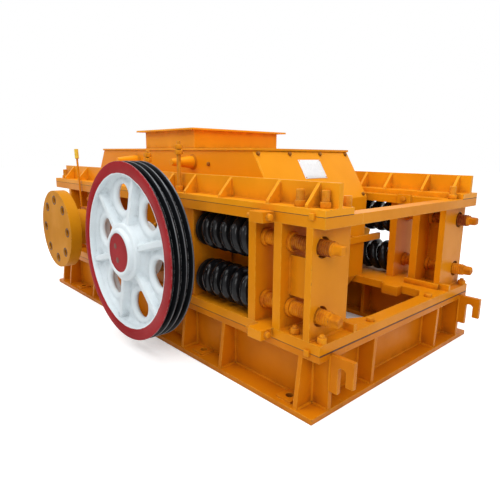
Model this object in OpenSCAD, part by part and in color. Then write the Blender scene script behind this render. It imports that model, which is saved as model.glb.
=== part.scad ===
// Double roll crusher with spring-loaded moving roll.
// Millimetres, +Z up. X runs along the machine, Y across it, Z = 0 is the floor.
// "front" pieces are on the -Y side and "back" pieces on the +Y side.

/* [Base frame] */
// Length of the base frame along X
base_l = 1802; // [1500:2:2200]
// Width of the base frame along Y
base_w = 946; // [800:2:1150]
// Height of the base frame, up to the lower rails
base_h = 185; // [150:1:260]
// Thickness of the bottom flange plates
foot_t = 16; // [10:1:24]
// Thickness of the upright web plates
web_t = 14; // [8:1:20]
// Distance of the webs from the outer edge of the bottom flange
web_inset = 70; // [50:1:90]
// Hole for each foundation bolt
anchor_d = 24; // [16:1:32]

/* [Rails and top beams] */
// Thickness of the lower rails
rail_t = 29; // [20:1:40]
// Width of the lower rails
rail_w = 226; // [180:2:240]
// Height of the underside of the top rails
top_z = 518; // [440:1:640]
// Thickness of the top rails
top_rail_t = 30; // [20:1:40]
// Thickness of the top beam plate
plate_t = 18; // [10:1:24]
// Height of the upright web of the top beams
beam_h = 64; // [40:1:100]
// Distance of the rails and columns from the edge of the base
side_inset = 24; // [16:1:40]

/* [Rolls] */
// Diameter of both rolls
roll_d = 610; // [500:5:700]
// Length of both rolls
roll_l = 400; // [300:5:420]
// Gap between the rolls at rest
roll_gap = 12; // [5:1:60]
// Height of the roll axes
axis_z = 367; // [345:1:420]
// Position of the fixed roll axis along X
fixed_x = -445; // [-520:1:-420]
// Diameter of the shafts in the bearings
shaft_d = 110; // [80:1:130]
// Travel of the moving roll against the springs
travel = 20; // [5:1:30]

/* [Springs and screws] */
// Outside diameter of the springs
spring_d = 128; // [90:1:130]
// Wire diameter of the springs
wire_d = 34; // [16:1:36]
// Turns of each spring, with the closed ends
spring_turns = 5; // [4:0.5:8]
// Distance of the spring axes above and below the middle between the rails
spring_rise = 83; // [70:1:84]
// Distance of the spring axes from the edge of the base
spring_inset = 88; // [80:1:110]
// Distance of the screw axes above and below the middle between them
screw_rise = 94; // [70:1:100]
// Distance of the screw axes from the edge of the base
screw_inset = 68; // [60:1:110]
// Diameter of the adjusting screws
screw_d = 44; // [30:1:50]

/* [Drive] */
// Outside diameter of the belt pulleys
pulley_d = 610; // [450:5:640]
// Width of the belt pulleys
pulley_w = 82; // [70:1:100]
// Number of V grooves
grooves = 3; // [2:1:4]
// Distance from the edge of the base to the outer face of the pulleys and flanges
drive_out = 150; // [110:1:200]
// Diameter of the shaft flanges
flange_d = 336; // [280:2:400]
// Thickness of the shaft flanges
flange_t = 46; // [30:1:60]

/* [Hood] */
// Height of the top of the hood
hood_z = 718; // [640:2:800]
// Length of the flat top of the hood
hood_top_l = 1130; // [900:10:1300]
// Distance of the hood sides from the inner edge of the lower rails
hood_seat = 41; // [10:1:60]
// Thickness of the hood plates
sheet_t = 8; // [4:1:12]
// Height of the feed hopper above the hood
hopper_h = 79; // [40:1:160]

/* [Hidden] */
$fn = 96;
fit = 0.05;
seat = 0.3;
half_l = base_l / 2;
edge = base_w / 2;
rail_z = base_h + rail_t;
rail_out = edge - side_inset;
rail_in = edge - side_inset - rail_w;
web_out = edge - web_inset;
end_inset = 2;
end_web_x = half_l - 72;
end_top_w = 48;
flange_w = 140;
stiff_x = [-half_l + 50, -half_l + 143, -470, -190, 80, 292, 507, half_l - 66];
end_stiff_y = [-182, 222];
anchor_x = [-half_l + 235, -143, 372, half_l - 118];
anchor_inset = 43;
pad_s = 56;
pad_t = 6;
hook_leg = 27;
hook_slot = 26;
hook_tip = 23;
shift_x = -(hook_leg + hook_slot + hook_tip - end_inset) / 2;

moving_x = fixed_x + roll_d + roll_gap;
bearing_half = 95;
push_l = 160;
stub_l = 16;
seat_t = 12;
housing_out = rail_out - 8;
housing_in = edge - 200;
a_t = 30;
b_t = 29;
c_t = 22;
c_x = half_l - 61;
b_x = c_x - 115;
a_x = b_x - 102;
stop_x = -half_l + 175;
column_w = 160;
b_w = 138;
a_w = 126;
plate_w = 118;
lug_l = 54;
lug_w = 44;
lug_t = 10;
spring_y = edge - spring_inset;
push_x = moving_x + push_l;
spring_x0 = push_x + stub_l + seat_t;
spring_len = a_x - spring_x0;
mid_z = (rail_z + top_z) / 2;
spring_upper_z = mid_z + spring_rise;
spring_lower_z = mid_z - spring_rise;
closed_turns = 0.75;
boss_d = spring_d - 2 * wire_d - 6;
boss_l = 24;
screw_y = edge - screw_inset;
screw_mid_z = mid_z + 4;
upper_z = screw_mid_z + screw_rise;
lower_z = screw_mid_z - screw_rise;
screw_hole_d = 58;
collar_d = 56;
screw_tip = half_l + 26;
square_s = 32;
square_l = 48;

plate_z = top_z + top_rail_t;
web_z = plate_z + plate_t;
rib_out_x = [-half_l + 125, -612, -370, -110, 155, 292, 481, 692, half_l - 68];
rib_in_x = [-half_l + 60, -720, -560, -310, -50, 210, 462, 578, 738, half_l - 48];
rib_t = 10;

drive_face = edge + drive_out;
rim_t = 43;
hub_d = 190;
groove_pitch = 25.5;

hood_x = fixed_x + (roll_d + roll_gap) / 2 + 2;
hood_bend_z = 535;
hood_slope = 112;
hood_half = hood_top_l / 2;
hood_edge = rail_in + hood_seat;
roof_lip = 5;
hopper_half_l = 220;
hopper_half_w = hood_edge;
lip_w = 30;
lip_t = 7;

orange = [0.88, 0.50, 0.08];
pale = [0.80, 0.84, 0.86];
black = [0.06, 0.06, 0.07];
steel = [0.62, 0.62, 0.60];

// ---------- helpers ----------
// Block between opposite corners.
module block(x0, x1, y0, y1, z0, z1) {
    translate([x0, y0, z0]) cube([x1 - x0, y1 - y0, z1 - z0]);
}

// Cylinder along Y between two positions.
module rod_y(x, z, y0, y1, d) {
    translate([x, y1, z]) rotate([90, 0, 0]) cylinder(d = d, h = y1 - y0);
}

// Cylinder along X between two positions.
module rod_x(y, z, x0, x1, d) {
    translate([x0, y, z]) rotate([0, 90, 0]) cylinder(d = d, h = x1 - x0);
}

// Plate drawn in the YZ plane, centred on x.
module plate_yz(x, t, points) {
    translate([x - t / 2, 0, 0]) rotate([90, 0, 90]) linear_extrude(t) polygon(points);
}

// Plate drawn in the XZ plane, from y0 to y1.
module plate_xz(y0, y1, points) {
    translate([0, y1, 0]) rotate([90, 0, 0]) linear_extrude(y1 - y0) polygon(points);
}

// The base frame is centred on X = 0 in the modules; this puts the whole box there instead.
module placed() {
    translate([shift_x, 0, 0]) children();
}

// Everything is drawn for the front; the back is its mirror image.
module on_side(side) {
    if (side == "back") mirror([0, 1, 0]) children();
    else children();
}

// ---------- base frame ----------
module base_beam(side) {
    top = base_h - 20;
    color(orange) on_side(side) difference() {
        union() {
            block(-half_l, half_l, -edge, -edge + flange_w, 0, foot_t);
            block(-half_l + end_inset, half_l - end_inset, -web_out, -web_out + web_t, foot_t, top);
            block(-half_l + end_inset, half_l - end_inset, -rail_out, -edge + flange_w, top, base_h);
            for (x = stiff_x) {
                plate_yz(x, web_t, [[-edge + 6, foot_t], [-web_out, foot_t], [-web_out, top],
                    [-rail_out, top]]);
                if (abs(x) < end_web_x)
                    plate_yz(x, web_t, [[-web_out + web_t, foot_t], [-edge + flange_w - 6, foot_t],
                        [-edge + flange_w - 6, top], [-web_out + web_t, top]]);
            }
            for (x = anchor_x)
                block(x - pad_s / 2, x + pad_s / 2, -edge + anchor_inset - 27,
                    -web_out, foot_t, foot_t + pad_t);
        }
        for (x = anchor_x)
            translate([x, -edge + anchor_inset, -1]) cylinder(d = anchor_d, h = foot_t + pad_t + 2);
    }
}

module base_end(sign) {
    top = base_h - 20;
    y_in = edge - flange_w;
    x_web = sign * end_web_x;
    x_out = sign * (half_l - end_inset);
    x_foot = sign * half_l;
    x_back = sign * (end_web_x - 70);
    color(orange) union() {
        block(min(x_back, x_foot), max(x_back, x_foot), -y_in, y_in, 0, foot_t);
        block(min(x_web, x_web + sign * web_t), max(x_web, x_web + sign * web_t),
            -web_out + web_t, web_out - web_t, foot_t, top);
        block(min(x_web, x_out), max(x_web, x_out), -y_in, y_in, top, base_h);
        for (y = end_stiff_y)
            plate_xz(y - web_t / 2, y + web_t / 2, [[x_web + sign * web_t, foot_t],
                [x_foot - sign * 6, foot_t], [x_out, top], [x_web + sign * web_t, top]]);
    }
}

module lifting_hook(side) {
    x0 = half_l - end_inset;
    leg = hook_leg;
    slot = hook_slot;
    tip = hook_tip;
    bevel = 7;
    arch_z = base_h - 33;
    top = base_h - 5;
    color(orange) on_side(side)
        plate_xz(-web_out, -web_out + web_t, [[x0, 73], [x0 + leg, 73], [x0 + leg, arch_z - bevel],
            [x0 + leg + bevel, arch_z], [x0 + leg + slot - bevel, arch_z],
            [x0 + leg + slot, arch_z - bevel], [x0 + leg + slot, 105],
            [x0 + leg + slot + tip, 105], [x0 + leg + slot + tip, top], [x0, top]]);
}

// ---------- rails and top beams ----------
// Both rails carry lugs at their edges for the bolts that hold the pressure plates.
module lower_rail(side) {
    x1 = half_l - end_inset;
    color(orange) on_side(side) union() {
        block(-x1, x1, -rail_out, -rail_in, base_h, rail_z);
        block(b_x - lug_l, b_x, -rail_out - lug_w, -rail_out, base_h, rail_z);
        block(b_x - lug_l, b_x, -rail_in, -rail_in + lug_t, base_h - 14, rail_z);
    }
}

module lower_cross_bars() {
    x1 = half_l - end_inset;
    x0 = x1 - end_top_w;
    cut = 60;
    color(orange) for (s = [-1, 1])
        translate([0, 0, base_h]) linear_extrude(rail_t)
            polygon([[s * x1, -rail_in], [s * x1, rail_in], [s * (x0 - cut / 2), rail_in],
                [s * x0, rail_in - cut], [s * x0, cut - rail_in], [s * (x0 - cut / 2), -rail_in]]);
}

module top_rail(side) {
    x1 = half_l - end_inset;
    y1 = -rail_out + column_w;
    color(orange) on_side(side) union() {
        block(-x1, x1, -rail_out, y1, top_z, plate_z);
        block(b_x - lug_l, b_x, -rail_out - lug_w, -rail_out, top_z, plate_z);
        block(b_x - lug_l, b_x, y1, y1 + lug_t, top_z, plate_z + 5);
    }
}

module top_cross_bars() {
    x1 = half_l - end_inset;
    x0 = x1 - end_top_w;
    y1 = rail_out - column_w;
    color(orange) for (s = [-1, 1])
        block(min(s * x0, s * x1), max(s * x0, s * x1), -y1, y1, top_z, plate_z);
}

module top_beam(side) {
    x1 = half_l - end_inset;
    y0 = -rail_out;
    y1 = -rail_out + plate_w;
    yw = (y0 + y1) / 2;
    web_top = web_z + beam_h;
    color(orange) on_side(side) union() {
        block(-x1, x1, y0, y1, plate_z, web_z);
        block(-x1 + 16, x1, yw - web_t / 2, yw + web_t / 2, web_z, web_top);
        for (x = rib_out_x)
            plate_yz(x, rib_t, [[y0 + 4, web_z], [yw - web_t / 2, web_z],
                [yw - web_t / 2, web_top - 2], [y0 + 4, web_z + 8]]);
        for (x = rib_in_x)
            plate_yz(x, rib_t, [[y1 - 4, web_z], [yw + web_t / 2, web_z],
                [yw + web_t / 2, web_top - 2], [y1 - 4, web_z + 8]]);
    }
}

// ---------- columns, pressure plates and screws ----------
// Two plates with a web between them carry the screws; a single plate stands at the left end.
module end_column(side) {
    y0 = -rail_out;
    y1 = -rail_out + column_w;
    yw = -screw_y - web_t / 2;
    window = collar_d + 18;
    x_end = half_l - end_inset;
    color(orange) on_side(side) difference() {
        union() {
            block(b_x, b_x + b_t, y0, y0 + b_w, rail_z, top_z);
            block(c_x, c_x + c_t, y0, y1, rail_z, top_z);
            block(b_x + b_t, c_x, yw, yw + web_t, lower_z + window / 2, upper_z - window / 2);
            block(c_x + c_t, x_end, y1 - 12, y1, rail_z, rail_z + 22);
            block(stop_x, stop_x + c_t, y0, y1, rail_z, top_z);
        }
        for (z = [lower_z, upper_z]) {
            rod_x(-screw_y, z, b_x - 1, b_x + b_t + 1, screw_d + 2 * seat);
            rod_x(-screw_y, z, c_x - 1, c_x + c_t + 1, screw_hole_d);
        }
    }
}

module pressure_plate(side) {
    color(orange) on_side(side) union() {
        block(a_x, a_x + a_t, -rail_out, -rail_out + a_w, rail_z, top_z);
        for (z = [spring_lower_z, spring_upper_z])
            rod_x(-spring_y, z, a_x - boss_l, a_x, boss_d);
    }
}

module adjusting_screws(side) {
    x0 = a_x + a_t;
    x1 = screw_tip - square_l;
    collar_x = b_x + b_t;
    collar_l = 12;
    color(orange) on_side(side) for (z = [lower_z, upper_z]) union() {
        rod_x(-screw_y, z, x0, x1, screw_d);
        rod_x(-screw_y, z, collar_x, collar_x + collar_l, collar_d);
        block(x1, screw_tip, -screw_y - square_s / 2, -screw_y + square_s / 2,
            z - square_s / 2, z + square_s / 2);
    }
}

// Round wire wound into a helix along X. The end turns are closed: there the wire advances by
// its own thickness a turn, and the open turns share the rest of the length evenly.
module spring(side, z) {
    sides = 12;
    per_turn = 20;
    steps = spring_turns * per_turn;
    r = (spring_d - wire_d) / 2;
    closed_pitch = wire_d + seat;
    run = spring_len - wire_d - 2 * seat;
    open_turns = spring_turns - 2 * closed_turns;
    open_pitch = (run - 2 * closed_turns * closed_pitch) / open_turns;
    x0 = spring_x0 + seat + wire_d / 2;
    function wire_x(turn) = x0 + closed_pitch * min(turn, closed_turns)
        + open_pitch * min(max(turn - closed_turns, 0), open_turns)
        + closed_pitch * max(turn - closed_turns - open_turns, 0);
    points = [for (i = [0:steps]) let (turn = i / per_turn, a = 360 * turn)
        for (k = [0:sides - 1]) let (b = 360 * k / sides, q = r + wire_d / 2 * cos(b))
            [wire_x(turn) + wire_d / 2 * sin(b), -spring_y + q * cos(a), z + q * sin(a)]];
    walls = [for (i = [0:steps - 1]) for (k = [0:sides - 1])
        let (n = (k + 1) % sides, p = i * sides, q = (i + 1) * sides)
            [p + k, q + k, q + n, p + n]];
    first = [for (k = [0:sides - 1]) k];
    last = [for (k = [sides - 1:-1:0]) steps * sides + k];
    color(black) on_side(side) polyhedron(points, concat(walls, [first, last]), convexity = 10);
}

// ---------- bearings ----------
module fixed_bearing(side) {
    x0 = fixed_x - bearing_half;
    x1 = fixed_x + bearing_half;
    cap_d = 200;
    color(orange) on_side(side) difference() {
        union() {
            block(x0, x1, -housing_out, -housing_in, rail_z, axis_z);
            rod_y(fixed_x, axis_z, -housing_out, -housing_in, 2 * bearing_half);
            block(x0 - 34, x0, -housing_out, -housing_in, rail_z, rail_z + 28);
            block(x1, x1 + 34, -housing_out, -housing_in, rail_z, rail_z + 28);
            block(x0 - 22, x1 + 22, -housing_out, -housing_in, axis_z - 30, axis_z + 30);
            block(fixed_x - 45, fixed_x + 45, -housing_out, -housing_in, axis_z, top_z);
            rod_y(fixed_x, axis_z, -edge - 20, -housing_out, cap_d - 20);
        }
        rod_y(fixed_x, axis_z, -edge - 30, -housing_in + 10, shaft_d + 2 * fit);
    }
}

// Housing that slides between the rails. Its long side pushes two round seats into the springs.
module moving_bearing(side) {
    x0 = moving_x - bearing_half;
    seat_d = spring_d - 10;
    stub_d = 40;
    color(orange) on_side(side) difference() {
        union() {
            block(x0, push_x, -housing_out, -housing_in, rail_z + seat, top_z - seat);
            rod_y(moving_x, axis_z, -edge - 20, -housing_out, 180);
            for (z = [spring_lower_z, spring_upper_z]) {
                rod_x(-spring_y, z, push_x, push_x + stub_l, stub_d);
                rod_x(-spring_y, z, push_x + stub_l, spring_x0, seat_d);
                rod_x(-spring_y, z, spring_x0, spring_x0 + boss_l, boss_d);
            }
        }
        rod_y(moving_x, axis_z, -edge - 30, -housing_in + 10, shaft_d + 2 * fit);
    }
}

// ---------- rolls, shafts and drive ----------
module roll(x) {
    wall = 55;
    disc = 45;
    y1 = roll_l / 2;
    color(steel) difference() {
        rod_y(x, axis_z, -y1, y1, roll_d);
        rod_y(x, axis_z, -y1 - 1, -y1 + 25, roll_d - 2 * wall);
        rod_y(x, axis_z, y1 - 25, y1 + 1, roll_d - 2 * wall);
        rod_y(x, axis_z, -y1 + 25 + disc, y1 - 25 - disc, roll_d - 2 * wall);
        rod_y(x, axis_z, -y1, y1, shaft_d + 30 + 2 * fit);
    }
}

module shaft(x) {
    y1 = roll_l / 2 + 20;
    neck = shaft_d - 10;
    color(steel) union() {
        rod_y(x, axis_z, -y1, y1, shaft_d + 30);
        rod_y(x, axis_z, -edge - 20, -y1, shaft_d);
        rod_y(x, axis_z, y1, edge + 20, shaft_d);
        rod_y(x, axis_z, -drive_face + 6, -edge - 20, neck);
        rod_y(x, axis_z, edge + 20, drive_face - 6, neck);
    }
}

// Belt pulley turned about its axis; the outer face is at drive_face.
module pulley(x, side) {
    r = pulley_d / 2;
    depth = 19;
    top_w = 22;
    foot_w = 12;
    margin = (pulley_w - groove_pitch * (grooves - 1)) / 2;
    holes = 6;
    rim_in = r - rim_t;
    bite = 6;
    web_y = 30;
    web_w = 22;
    neck = shaft_d - 10;
    module profile() {
        polygon(concat([[rim_in, 0], [r, 0]],
            [for (i = [0:grooves - 1]) let (c = margin + i * groove_pitch)
                each [[r, c - top_w / 2], [r - depth, c - foot_w / 2],
                    [r - depth, c + foot_w / 2], [r, c + top_w / 2]]],
            [[r, pulley_w], [rim_in, pulley_w]]));
    }
    color(pale) on_side(side) translate([x, -drive_face, axis_z]) rotate([-90, 0, 0]) difference() {
        union() {
            rotate_extrude() profile();
            translate([0, 0, web_y]) cylinder(r = rim_in + bite, h = web_w);
            cylinder(d = hub_d, h = pulley_w + 16);
            for (i = [0:holes - 1]) rotate([0, 0, 360 / holes * i])
                translate([hub_d / 2 - bite, -9, 12])
                    cube([rim_in - hub_d / 2 + 2 * bite, 18, pulley_w - 24]);
        }
        for (i = [0:holes - 1]) rotate([0, 0, 360 / holes * (i + 0.5)])
            translate([(hub_d / 2 + rim_in) / 2, 0, 0]) cylinder(d = 92, h = pulley_w);
        translate([0, 0, 6]) cylinder(d = neck + 2 * fit, h = pulley_w + 20);
    }
}

module shaft_flange(x, side) {
    bolts = 8;
    bolt_circle = 0.755 * flange_d;
    hole_d = 28;
    neck = shaft_d - 10;
    color(orange) on_side(side) translate([x, -drive_face, axis_z]) rotate([-90, 0, 0]) difference() {
        union() {
            cylinder(d = flange_d, h = flange_t);
            cylinder(d = 160, h = drive_out - 20 - seat);
        }
        for (i = [0:bolts - 1]) rotate([0, 0, 360 / bolts * i])
            translate([bolt_circle / 2, 0, -1]) cylinder(d = hole_d, h = flange_t + 2);
        translate([0, 0, 6]) cylinder(d = neck + 2 * fit, h = drive_out);
    }
}

// ---------- hood ----------
module hood_side(side) {
    y0 = -hood_edge;
    xt = hood_half;
    xb = hood_half + hood_slope;
    roof = hood_z - sheet_t;
    lug_x = 220;
    lug_z = hood_z - 53;
    lug_d = 50;
    lug_l = 100;
    hole = 180;
    color(orange) on_side(side) difference() {
        union() {
            plate_xz(y0, y0 + sheet_t, [[hood_x - xb, rail_z], [hood_x + xb, rail_z],
                [hood_x + xb, hood_bend_z], [hood_x + xt, roof], [hood_x - xt, roof],
                [hood_x - xb, hood_bend_z]]);
            for (s = [-1, 1])
                translate([hood_x + s * lug_x, y0 + 1, lug_z]) rotate([90, 0, 0])
                    cylinder(d1 = lug_d, d2 = lug_d / 2, h = lug_l + 1);
        }
        rod_y(fixed_x, axis_z, y0 - 1, y0 + sheet_t + 1, hole);
        rod_y(moving_x, axis_z, y0 - 1, y0 + sheet_t + 1, hole);
        rod_y(moving_x + travel, axis_z, y0 - 1, y0 + sheet_t + 1, hole);
        block(moving_x, moving_x + travel, y0 - 1, y0 + sheet_t + 1, axis_z - hole / 2,
            axis_z + hole / 2);
    }
}

module hood_roof() {
    roof = hood_z - sheet_t;
    mouth_l = hopper_half_l - lip_w - sheet_t;
    mouth_w = hopper_half_w - lip_w - sheet_t;
    color(orange) difference() {
        block(hood_x - hood_half - roof_lip, hood_x + hood_half + roof_lip,
            -hood_edge - roof_lip, hood_edge + roof_lip, roof, hood_z);
        block(hood_x - mouth_l, hood_x + mouth_l, -mouth_w, mouth_w, roof - 1, hood_z + 1);
    }
}

// Sloped and upright end panels, bent from one sheet between the side plates. The right one
// carries a flat bar that reaches between the upper and lower springs on both sides.
module hood_end(sign) {
    y1 = hood_edge - sheet_t;
    xt = hood_half;
    xb = hood_half + hood_slope;
    roof = hood_z - sheet_t;
    bar_half = spring_y - 20;
    bar_t = 12;
    bar_h = 26;
    color(orange) translate([hood_x, 0, 0]) union() {
        plate_xz(-y1, y1, [[sign * xb, rail_z], [sign * xb, hood_bend_z], [sign * xt, roof],
            [sign * (xt - sheet_t * 1.15), roof], [sign * (xb - sheet_t), hood_bend_z - 2],
            [sign * (xb - sheet_t), rail_z]]);
        if (sign > 0)
            block(xb, xb + bar_t, -bar_half, bar_half, mid_z - bar_h / 2, mid_z + bar_h / 2);
    }
}

// Upright box with a flat rim outside its top edge.
module feed_hopper() {
    z1 = hood_z + hopper_h;
    a = hopper_half_l - lip_w;
    b = hopper_half_w - lip_w;
    color(orange) translate([hood_x, 0, 0]) difference() {
        union() {
            block(-a, a, -b, b, hood_z, z1);
            block(-hopper_half_l, hopper_half_l, -hopper_half_w, hopper_half_w, z1 - lip_t, z1);
        }
        block(-a + sheet_t, a - sheet_t, -b + sheet_t, b - sheet_t, hood_z - 1, z1 + 1);
    }
}

module discharge_chute() {
    x1 = hood_half + hood_slope;
    y1 = rail_in - 2;
    drop = 130;
    color(orange) translate([hood_x, 0, 0]) for (s = [-1, 1])
        plate_xz(-y1, y1, [[s * x1, rail_z], [s * (x1 - sheet_t * 1.4), rail_z],
            [s * (x1 - drop - sheet_t * 1.4), 40], [s * (x1 - drop), 40]]);
}

// Thin greasing handle on the front fixed bearing, leaning outwards past the top beam.
module lever() {
    rod = 284;
    grip = 44;
    lean = 5;
    foot = 22;
    x = fixed_x - bearing_half - 11;
    y = -rail_out - 9;
    z = axis_z + 8;
    color(orange) union() {
        block(x - foot / 2, x + foot / 2, y - 6, -housing_out, z, z + foot);
        translate([x, y, z + foot / 2]) rotate([0, -lean, 0]) {
            cylinder(d = 9, h = rod);
            translate([0, 0, rod]) cylinder(d = 17, h = grip);
        }
    }
}

// ---------- assembly ----------
placed() base_beam("front");  // base_beam_front
placed() base_beam("back");  // base_beam_back
placed() base_end(-1);  // base_end_left
placed() base_end(1);  // base_end_right
placed() lifting_hook("front");  // lifting_hook_front
placed() lifting_hook("back");  // lifting_hook_back
placed() lower_rail("front");  // lower_rail_front
placed() lower_rail("back");  // lower_rail_back
placed() lower_cross_bars();
placed() top_rail("front");  // top_rail_front
placed() top_rail("back");  // top_rail_back
placed() top_cross_bars();
placed() top_beam("front");  // top_beam_front
placed() top_beam("back");  // top_beam_back
placed() end_column("front");  // end_column_front
placed() end_column("back");  // end_column_back
placed() pressure_plate("front");  // pressure_plate_front
placed() pressure_plate("back");  // pressure_plate_back
placed() adjusting_screws("front");  // adjusting_screws_front
placed() adjusting_screws("back");  // adjusting_screws_back
placed() spring("front", spring_upper_z);  // spring_upper_front
placed() spring("front", spring_lower_z);  // spring_lower_front
placed() spring("back", spring_upper_z);  // spring_upper_back
placed() spring("back", spring_lower_z);  // spring_lower_back
placed() fixed_bearing("front");  // fixed_bearing_front
placed() fixed_bearing("back");  // fixed_bearing_back
placed() moving_bearing("front");  // moving_bearing_front
placed() moving_bearing("back");  // moving_bearing_back
placed() roll(fixed_x);  // fixed_roll
placed() shaft(fixed_x);  // fixed_shaft
placed() roll(moving_x);  // moving_roll
placed() shaft(moving_x);  // moving_shaft
placed() pulley(moving_x, "front");  // drive_pulley_front
placed() pulley(fixed_x, "back");  // drive_pulley_back
placed() shaft_flange(fixed_x, "front");  // shaft_flange_front
placed() shaft_flange(moving_x, "back");  // shaft_flange_back
placed() hood_side("front");  // hood_side_front
placed() hood_side("back");  // hood_side_back
placed() hood_roof();
placed() hood_end(-1);  // hood_end_left
placed() hood_end(1);  // hood_end_right
placed() feed_hopper();
placed() discharge_chute();
placed() lever();
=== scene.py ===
# Double roll crusher, built up around its packed steelwork in metres.
# +X runs towards the adjusting screws, +Y across the machine to the back, +Z up.
import math

import bmesh
import bpy
from mathutils import Euler, Matrix, Quaternion, Vector, noise


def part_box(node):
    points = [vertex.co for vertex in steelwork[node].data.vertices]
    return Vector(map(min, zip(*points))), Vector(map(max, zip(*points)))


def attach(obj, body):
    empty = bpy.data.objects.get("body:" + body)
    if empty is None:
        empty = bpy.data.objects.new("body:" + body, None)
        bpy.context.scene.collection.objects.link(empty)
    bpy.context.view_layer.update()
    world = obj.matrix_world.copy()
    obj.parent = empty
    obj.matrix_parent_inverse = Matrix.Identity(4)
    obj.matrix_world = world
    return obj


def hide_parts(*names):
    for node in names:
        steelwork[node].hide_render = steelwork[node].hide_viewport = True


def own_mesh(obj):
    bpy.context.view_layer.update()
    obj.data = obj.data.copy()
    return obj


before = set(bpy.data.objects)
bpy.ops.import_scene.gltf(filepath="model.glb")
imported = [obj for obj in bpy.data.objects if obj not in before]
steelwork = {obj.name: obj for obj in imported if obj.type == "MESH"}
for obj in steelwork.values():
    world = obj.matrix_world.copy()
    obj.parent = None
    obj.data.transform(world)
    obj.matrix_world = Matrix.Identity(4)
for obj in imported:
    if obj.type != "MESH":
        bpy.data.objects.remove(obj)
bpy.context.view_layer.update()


# ------------ floor, lights and view
# A pale floor without a visible edge, soft light from above and from the right, and a camera
# that looks at the near corner of the machine from a little above the top beams.
scene = bpy.context.scene
scene.view_settings.view_transform = "Standard"

camera_data = bpy.data.cameras.new("corner_view")
camera_data.sensor_width = 36.0
camera_data.lens = 32.39
camera_place = Vector((1.536, -1.312, 0.697))
below_level = math.radians(12.0)
round_from_front = math.radians(47.56)
leaning = math.radians(0.59)
camera = bpy.data.objects.new("corner_view", camera_data)
looking = Euler((math.pi / 2 - below_level, 0, round_from_front)).to_quaternion()
tipped = Quaternion((0, 0, 1), leaning)
camera.matrix_world = Matrix.LocRotScale(camera_place, looking @ tipped, None)
scene.collection.objects.link(camera)
scene.camera = camera


def wired(made, given):
    """Gives a node's inputs their values, or a link where the value is another node's socket."""
    for label, value in given.items():
        if isinstance(value, bpy.types.NodeSocket):
            made.id_data.links.new(value, made.inputs[label])
        else:
            made.inputs[label].default_value = value


def node(tree, kind, given=None, **settings):
    """Adds one shader node with its properties and its inputs."""
    made = tree.nodes.new(kind)
    for name, value in settings.items():
        setattr(made, name, value)
    wired(made, given or {})
    return made


def between(value, low, high, to_low=0.0, to_high=1.0):
    """Stretches a value from one range to another, and holds it there."""
    given = {"Value": value, "From Min": low, "From Max": high, "To Min": to_low, "To Max": to_high}
    return node(value.id_data, "ShaderNodeMapRange", given).outputs[0]


def calculated(operation, *given):
    """One step of arithmetic; each side is a socket or a number."""
    tree = next(value.id_data for value in given if isinstance(value, bpy.types.NodeSocket))
    return node(tree, "ShaderNodeMath", dict(enumerate(given)), operation=operation).outputs[0]


def times(first, second):
    """A socket scaled by a number or by another socket."""
    return calculated("MULTIPLY", first, second)


def seen_directly(tree):
    """1 for rays from the camera, from gloss and through glass, 0 for the light on things."""
    path = node(tree, "ShaderNodeLightPath").outputs
    either = calculated("MAXIMUM", path["Is Camera Ray"], path["Is Glossy Ray"])
    return calculated("MAXIMUM", either, path["Is Transmission Ray"])


def bare_material(name):
    """A new material; returns it with its node tree and its Principled shader."""
    material = bpy.data.materials.new(name)
    material.use_nodes = True
    return material, material.node_tree, material.node_tree.nodes["Principled BSDF"]


world = bpy.data.worlds.new("white_room")
world.use_nodes = True
scene.world = world
tree = world.node_tree
white = (1.0, 1.0, 1.0, 1.0)
room_light = 0.54
sky_level = between(seen_directly(tree), 0.0, 1.0, room_light, 1.0)
wired(tree.nodes["Background"], {"Color": white, "Strength": sky_level})

paper_lift = 0.70
floor_paper, tree, shader = bare_material("floor_paper")
wired(shader, {"Base Color": (0.66, 0.66, 0.66, 1.0), "Roughness": 0.9, "Emission Color": white})
# The paper's glow keeps it white in the open; ambient occlusion cuts the glow where the machine shuts it
# in, a painted shade under the machine.
shut_in = node(tree, "ShaderNodeAmbientOcclusion", {"Distance": 0.6}, samples=12)
open_paper = between(shut_in.outputs["AO"], 0.10, 0.26)
paper_glow = times(times(seen_directly(tree), paper_lift), open_paper)
wired(shader, {"Emission Strength": paper_glow})

half_floor = 20
floor_level = -0.001
ways = ((-1, -1), (1, -1), (1, 1), (-1, 1))
floor_mesh = bpy.data.meshes.new("floor")
corners = [(x * half_floor, y * half_floor, floor_level) for x, y in ways]
floor_mesh.from_pydata(corners, [], [(0, 1, 2, 3)])
floor = bpy.data.objects.new("floor", floor_mesh)
scene.collection.objects.link(floor)
floor_mesh.materials.append(floor_paper)


def soft_lamp(name, at, towards, size, power):
    """A square panel of soft light."""
    lamp_data = bpy.data.lights.new(name, "AREA")
    lamp_data.size = size
    lamp_data.energy = power
    lamp = bpy.data.objects.new(name, lamp_data)
    lamp.location = at
    lamp.rotation_euler = (Vector(towards) - Vector(at)).to_track_quat("-Z", "Y").to_euler()
    scene.collection.objects.link(lamp)


soft_lamp("overhead_panel", (0.4, -0.5, 3.6), (0.0, 0.0, 0.4), 3.0, 86)
soft_lamp("right_panel", (3.4, -2.2, 2.5), (0.3, -0.2, 0.4), 1.6, 38)
soft_lamp("left_panel", (-1.0, -2.9, 2.7), (0.3, -0.4, 0.4), 0.50, 16)


# ------------ base frame
# Two plate beams and two plate ends welded into one frame, with tapered stiffeners outside the
# webs and a hook plate at each corner of the screw end. All of it is sprayed in orange enamel.
def effect_group(name, given, gives):
    """A shader node group with its named sockets; returns the group and its two end nodes."""
    tree = bpy.data.node_groups.new(name, "ShaderNodeTree")
    for label, kind, value in given:
        tree.interface.new_socket(label, in_out="INPUT", socket_type=kind).default_value = value
    for label, kind in gives:
        tree.interface.new_socket(label, in_out="OUTPUT", socket_type=kind)
    return tree, tree.nodes.new("NodeGroupInput"), tree.nodes.new("NodeGroupOutput")


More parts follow.
